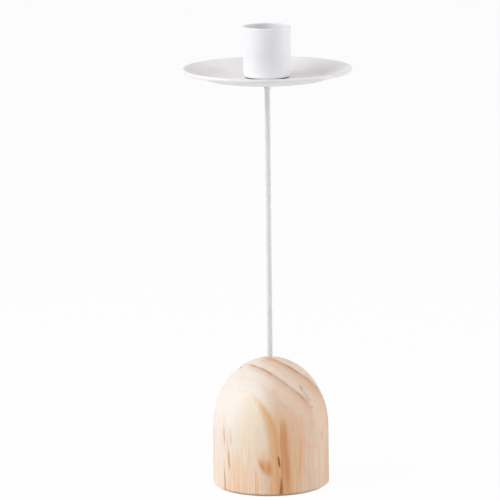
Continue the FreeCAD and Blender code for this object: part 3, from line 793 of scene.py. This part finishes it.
def felt_rows():
    """A rounded disc whose rim wavers by a tenth of a millimetre."""
    turn = even_angles(256)
    edge = FELT_RADIUS - FELT_ROUND
    section = np.concatenate([
        line((FELT_MIDDLE, 0.0), (edge, 0.0), 12),
        arc((edge, FELT_ROUND), (FELT_ROUND, FELT_ROUND), -90, 0, 5),
        line((FELT_RADIUS, FELT_ROUND), (FELT_RADIUS, FELT_THICK - FELT_ROUND), 3),
        arc((edge, FELT_THICK - FELT_ROUND), (FELT_ROUND, FELT_ROUND), 0, 90, 5),
        line((edge, FELT_THICK), (FELT_MIDDLE, FELT_THICK), 12),
    ])
    waver = sum(np.sin(count * turn + count) / count ** 0.5 for count in FELT_WAVES)
    share = smoothstep(edge - 4.0, FELT_RADIUS, section[:, 0])[:, None]
    return turned(section, turn, swell=(FELT_WAVER * waver - FELT_PULL) * share)


felt_disc = solid_from_rows("felt_disc", felt_rows(), looped=False, sharp_deg=60.0)
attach(felt_disc, "root")
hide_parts("foot_pad")


def build_felt():
    """Matt beige wool: hairs and clumps in two tones, with a weak sheen."""
    graph, material = new_material("pressed_felt")
    place = place_mm(graph)
    hairs = graph.noise(place, (3.0, 3.0, 5.0), 5.0, 0.7)
    clumps = graph.noise(place, (0.4, 0.4, 0.6), 2.0, 0.5)
    tone = graph.math("MULTIPLY_ADD", clumps, 0.4, graph.times(hairs, 0.6))
    dark, pale = linear(228, 196, 164), linear(242, 218, 192)
    shader = finish_with(
        graph,
        Base_Color=graph.tint(graph.soft(tone, 0.3, 0.75), dark, pale),
        Roughness=0.95,
        Sheen_Weight=0.25,
        Normal=bumped(graph, hairs, 0.15),
    )
    shader.inputs["Specular IOR Level"].default_value = 0.2
    return material


dress(felt_disc, build_felt())

# %% [markdown]
# ## White powder coat
# Stem, hub, plate and cup are steel, coated together: a powder that is sprayed on dry and
# baked. It lies a little thick, so it shows a faint orange peel and no brush marks, and it
# shines softly. A plain white would do from afar, but close to, the peel is what breaks up
# the light's edge on the cup. The group puts out its height and a speckle for the roughness.
# The stem and the hub get a greyer copy of the same white, which is painted shade.

# %% Powder coat
def build_powder():
    """Orange peel: a broad ripple of about a millimetre with a finer grain on it."""
    outputs = {"Height": NUMBER, "Speckle": NUMBER}
    graph, given, out = new_group("powder_coat", {"Place": ARROW}, outputs)
    ripple = graph.noise(given["Place"], (1.1, 1.1, 1.1), 1.0, 0.4)
    grain = graph.noise(given["Place"], (5.0, 5.0, 5.0), 2.0, 0.5)
    graph.feed(out["Height"], graph.math("MULTIPLY_ADD", grain, 0.25, ripple))
    graph.feed(out["Speckle"], grain)
    return graph.tree


POWDER = build_powder()
CUP_WHITES = linear(243, 244, 247), linear(238, 239, 243)
PLATE_WHITES = linear(246, 243, 243), linear(240, 236, 236)
# the stem's and hub's copy of the same coat is greyer: painted shade
STEM_WHITES_SHADED = linear(233, 233, 236), linear(227, 227, 231)


def build_white_coat(name, white, shade):
    """White powder in two close tones, with the peel in its normal and its roughness."""
    graph, material = new_material(name)
    place = place_mm(graph)
    coat = graph.use(POWDER, Place=place)
    cloudy = graph.noise(place, (0.05, 0.05, 0.05), 2.0, 0.5)
    finish_with(
        graph,
        Base_Color=graph.tint(graph.soft(cloudy, 0.35, 0.65), white, shade),
        Roughness=graph.soft(coat["Speckle"], 0.3, 0.7, 0.40, 0.48),
        Normal=bumped(graph, coat["Height"], 0.02, 0.5),
    )
    return material


white_coat = build_white_coat("white_powder_coat", *CUP_WHITES)
plate_coat = build_white_coat("white_powder_coat_plate", *PLATE_WHITES)
dress(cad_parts["drip_plate"], plate_coat)
dress(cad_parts["candle_cup"], white_coat)
# the stem and hub wear the greyer copy of the coat, painted shade
stem_coat_shaded = build_white_coat("white_powder_coat_stem_shaded", *STEM_WHITES_SHADED)
dress(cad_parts["plate_hub"], stem_coat_shaded)

# %% [markdown]
# ## The stem
# A drawn 3 mm rod with a rolled thread at both ends, which the hub and the nut hide. A
# thread is a helix: the depth at any point depends only on how far its height lies from
# the turn that passes its angle, so one formula makes it on the plain grid of a rod. A Screw
# modifier could wind a tooth round the rod, but not let it run out softly at its ends.

# %% Threaded stem
THREAD_PITCH, THREAD_DEPTH, THREAD_FLAT = 0.5, 0.3, 0.125
ROWS_PER_PITCH = 8
CHAMFER = 0.4
THREAD_PAST_INSERT, THREAD_IN_HUB = 0.2, 0.05
LOW_THREAD_END = INSERT_TOP + THREAD_PAST_INSERT
HIGH_THREAD_START = measured("plate_hub")[1] + THREAD_IN_HUB


def thread_depth(height, turn, first, last):
    """How far the thread cuts in: a V with flats, run out over one pitch at its ends."""
    phase = (height / THREAD_PITCH - turn / (2 * np.pi)) % 1.0
    groove = np.clip((np.abs(2 * phase - 1) - THREAD_FLAT) / (1 - 2 * THREAD_FLAT), 0, 1)
    begun = smoothstep(first, first + THREAD_PITCH, height)
    ended = 1 - smoothstep(last - THREAD_PITCH, last, height)
    return THREAD_DEPTH * groove * begun * ended


def stem_rows():
    """A round rod with chamfered ends; its rows lie close together where it is threaded."""
    step = THREAD_PITCH / ROWS_PER_PITCH
    heights = np.concatenate([
        np.arange(STEM_FOOT, LOW_THREAD_END + 1, step),
        np.linspace(LOW_THREAD_END + 1.5, HIGH_THREAD_START - 0.5, 24),
        np.arange(HIGH_THREAD_START - 0.25, STEM_TOP, step),
        [STEM_TOP],
    ])[:, None]
    turn = even_angles(48)
    from_end = np.minimum(heights - STEM_FOOT, STEM_TOP - heights)
    radius = STEM_RADIUS - np.clip(CHAMFER - from_end, 0, CHAMFER)
    radius = radius - thread_depth(heights, turn, STEM_FOOT - 1, LOW_THREAD_END)
    radius = radius - thread_depth(heights, turn, HIGH_THREAD_START, STEM_TOP + 1)
    tall = np.broadcast_to(heights, radius.shape)
    return np.stack([radius * np.cos(turn), radius * np.sin(turn), tall], axis=2)


threaded_stem = solid_from_rows("threaded_stem", stem_rows(), looped=False)
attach(threaded_stem, "root")
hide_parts("stem_rod")
dress(threaded_stem, stem_coat_shaded)

# %% [markdown]
# ## Screw in the cup
# The candle stands on a low screw head, which shows from above. Its cross recess is a
# shape in plan, two crossed bars with soft edges, that lowers the head's top. A Boolean
# could cut it out, but with sharper corners than a punch leaves. The shank has the same
# thread formula as the stem.

# %% Screw with a cross recess
HEAD_RADIUS, SCREW_END, SCREW_TOP = measured("cup_screw")
SCREW_SEAT = measured("screw_washer")[2]
HEAD_HEIGHT, HEAD_RIM = SCREW_TOP - SCREW_SEAT, 0.5
RECESS_HALF_WIDTH, RECESS_REACH, RECESS_DEPTH = 0.36, 1.45, 0.9


def screw_rows():
    """Shank up, under the head, over its rim and across the dome to the middle."""
    turn = even_angles(96)
    step = THREAD_PITCH / ROWS_PER_PITCH
    shank = np.arange(SCREW_END, SCREW_SEAT, step)
    chamfer = np.clip(CHAMFER - (shank - SCREW_END), 0, CHAMFER)
    radius = (STEM_RADIUS - chamfer)[:, None] - thread_depth(
        shank[:, None], turn, SCREW_END - 1, SCREW_SEAT
    )
    shank_tall = np.broadcast_to(shank[:, None], radius.shape)
    sag = HEAD_HEIGHT - HEAD_RIM
    bend = (HEAD_RADIUS ** 2 + sag ** 2) / (2 * sag)
    under_head = np.array([[STEM_RADIUS, 0.0], [2.2, 0.0], [2.7, 0.0], [HEAD_RADIUS, 0.08]])
    over_head = np.linspace(HEAD_RADIUS, 0.04, 60)
    across = np.concatenate([under_head[:, 0], over_head])
    crown = HEAD_HEIGHT - bend + np.sqrt(bend ** 2 - over_head ** 2)
    up = np.concatenate([under_head[:, 1], crown])
    x, y = across[:, None] * np.cos(turn), across[:, None] * np.sin(turn)
    thin, long = np.minimum(np.abs(x), np.abs(y)), np.maximum(np.abs(x), np.abs(y))
    recess = (1 - smoothstep(RECESS_HALF_WIDTH - 0.07, RECESS_HALF_WIDTH, thin)) * (
        1 - smoothstep(RECESS_REACH - 0.25, RECESS_REACH, long)
    )
    on_top = (np.arange(len(across)) > len(under_head))[:, None]
    tall = SCREW_SEAT + up[:, None] - RECESS_DEPTH * recess * on_top
    head = np.stack([x, y, tall], axis=2)
    body = np.stack([radius * np.cos(turn), radius * np.sin(turn), shank_tall], axis=2)
    return np.concatenate([body, head])


cross_screw = solid_from_rows("cross_screw", screw_rows(), looped=False)
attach(cross_screw, "root")
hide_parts("cup_screw")

# %% [markdown]
# ## Plated steel, brass and fibre
# Turned faces keep fine rings from the tool. The rings are sines of the distance from the
# axis, softened by noise, and they change both the height and the roughness. Anisotropic
# shading could stretch the highlights in the same way, but it needs a tangent on every face,
# which the plain pieces don't have.


# %% Fastener finishes
def build_turned():
    """Tool rings about the stem's axis, and a cloudy mask for tarnish."""
    outputs = {"Rings": NUMBER, "Cloud": NUMBER}
    graph, given, out = new_group("turned_face", {"Place": ARROW}, outputs)
    flat = graph.vector("LENGTH", graph.vector("MULTIPLY", given["Place"], (1.0, 1.0, 0.0)))
    rings = graph.math("SINE", graph.times(flat, 60.0))
    grit = graph.noise(given["Place"], (8.0, 8.0, 8.0), 2.0, 0.6)
    mixed = graph.math("MULTIPLY_ADD", rings, 0.3, grit)
    graph.feed(out["Rings"], mixed)
    graph.feed(out["Cloud"], graph.noise(given["Place"], (0.6, 0.6, 0.6), 3.0, 0.55))
    return graph.tree


TURNED = build_turned()


def build_metal(name, bright, dull, roughness):
    """Bare metal in two tones, with the tool's rings in its normal and its roughness."""
    graph, material = new_material(name)
    face = graph.use(TURNED, Place=place_mm(graph))
    finish_with(
        graph,
        Base_Color=graph.tint(graph.soft(face["Cloud"], 0.35, 0.7), bright, dull),
        Metallic=1.0,
        Roughness=graph.soft(face["Rings"], 0.2, 0.8, roughness, roughness + 0.12),
        Normal=bumped(graph, face["Rings"], 0.01, 0.6),
    )
    return material


def build_gap_shade_fibre():
    """Dark pressed fibre with paler specks; its darkness is painted shade for the gap under the
    cup.
    """
    graph, material = new_material("speckled_fibre_gap_shade")
    specks = graph.noise(place_mm(graph), (3.0, 3.0, 3.0), 4.0, 0.6)
    dark, pale = linear(34, 36, 44), linear(62, 64, 74)
    finish_with(
        graph,
        Base_Color=graph.tint(graph.soft(specks, 0.4, 0.7), dark, pale),
        Roughness=0.8,
        Normal=bumped(graph, specks, 0.03),
    )
    return material


zinc = build_metal("zinc_plated_steel", (0.74, 0.75, 0.77, 1.0), (0.58, 0.59, 0.6, 1.0), 0.26)
brass = build_metal("turned_brass", (0.80, 0.63, 0.30, 1.0), (0.66, 0.48, 0.2, 1.0), 0.3)
dress(cross_screw, zinc)
for node in ("lock_washer", "lock_nut", "screw_washer"):
    dress(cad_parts[node], zinc)
dress(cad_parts["threaded_insert"], brass)
# the dark washer under the cup stands in for the shade in the gap there: painted shade
dress(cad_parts["seat_washer"], build_gap_shade_fibre())

# %% [markdown]
# ## Floor and background
# The photograph has a plain white ground. A wide, pale floor and a plain world give it
# from every side, with no wall to get in the way when the camera goes round. What the
# camera and reflections see is near white by its own colour, while the light that falls on
# the stand comes from lamps and a dimmer world. The floor keeps a part of its own shading,
# so the stand's soft shadow stays.

# %% Floor and world
WORLD_LIGHT = 0.3
FLOOR_WHITE = 0.9
FLOOR_GLOW_SHARE = 0.96


def seen_directly(graph):
    """1 for what the camera, a reflection or a clear piece sees, 0 for the light itself."""
    path = graph.node("ShaderNodeLightPath").outputs
    seen = graph.math("MAXIMUM", path["Is Camera Ray"], path["Is Glossy Ray"])
    return graph.math("MAXIMUM", seen, path["Is Transmission Ray"])


def build_floor():
    """Matt white that takes the shadow; whatever looks at it sees mostly plain white."""
    graph, material = new_material("pale_floor")
    share = graph.times(seen_directly(graph), FLOOR_GLOW_SHARE)
    plain = (FLOOR_WHITE, FLOOR_WHITE, FLOOR_WHITE, 1.0)
    matt = graph.node("ShaderNodeBsdfDiffuse", {"Color": plain})
    glow = graph.node("ShaderNodeEmission", {"Color": (1.0, 1.0, 1.0, 1.0), "Strength": 1.0})
    both = graph.node("ShaderNodeMixShader", {0: share})
    graph.tree.links.new(matt.outputs[0], both.inputs[1])
    graph.tree.links.new(glow.outputs[0], both.inputs[2])
    out = graph.node("ShaderNodeOutputMaterial")
    graph.tree.links.new(both.outputs[0], out.inputs["Surface"])
    return material


floor_mesh = bpy.data.meshes.new("floor")
reach, below = 6.0, -0.05 * MM
corners = [(x * reach, y * reach, below) for x, y in ((-1, -1), (1, -1), (1, 1), (-1, 1))]
floor_mesh.from_pydata(corners, [], [(0, 1, 2, 3)])
floor = bpy.data.objects.new("floor", floor_mesh)
scene.collection.objects.link(floor)
dress(floor, build_floor())

world = bpy.data.worlds.new("pale_room")
scene.world = world
world.use_nodes = True
world.node_tree.nodes.clear()
room = Graph(world.node_tree)
strength = room.math("MULTIPLY_ADD", seen_directly(room), 1.0 - WORLD_LIGHT, WORLD_LIGHT)
sky = room.node("ShaderNodeBackground", {"Color": (1.0, 1.0, 1.0, 1.0), "Strength": strength})
world_out = room.node("ShaderNodeOutputWorld")
room.tree.links.new(sky.outputs[0], world_out.inputs["Surface"])

# %% [markdown]
# ## Soft boxes
# The cup tells where the light stands: its left side is the brightest, it is darkest a
# little right of the middle, and it brightens again to the right edge. So there is a large
# soft box at the left and a weaker one at the right, each with a higher, fainter one beside
# it that reaches down to the plate.

# %% Soft boxes
SOFT_BOXES = {
    # name: azimuth from the front, height angle, distance (m), width (m), height (m), watts
    "left_box": (-64.0, 31.0, 1.2, 0.9, 0.9, 9.2),
    "left_high_box": (-95.0, 50.0, 1.2, 0.9, 0.9, 2.2),
    "right_box": (85.0, 10.0, 1.2, 0.9, 0.9, 6.6),
    "right_high_box": (75.0, 45.0, 1.2, 0.9, 0.9, 2.1),
}
AIM_AT = Vector((0.0, 0.0, 0.15))


def soft_box(name, azimuth, climb, distance, width, height, watts):
    """A rectangular lamp that looks at the stand from a direction round it."""
    turn, lift = math.radians(azimuth), math.radians(climb)
    away = Vector((
        math.sin(turn) * math.cos(lift), -math.cos(turn) * math.cos(lift), math.sin(lift)
    ))
    lamp = bpy.data.lights.new(name, "AREA")
    lamp.shape = "RECTANGLE"
    lamp.size, lamp.size_y, lamp.energy = width, height, watts
    box = bpy.data.objects.new(name, lamp)
    scene.collection.objects.link(box)
    box.rotation_mode = "QUATERNION"
    box.location = AIM_AT + away * distance
    box.rotation_quaternion = away.to_track_quat("Z", "Y")
    return box


for name, values in SOFT_BOXES.items():
    box = soft_box(name, *values)
    print(name, "at", [round(place, 2) for place in box.location], "m:", values[-1], "W")
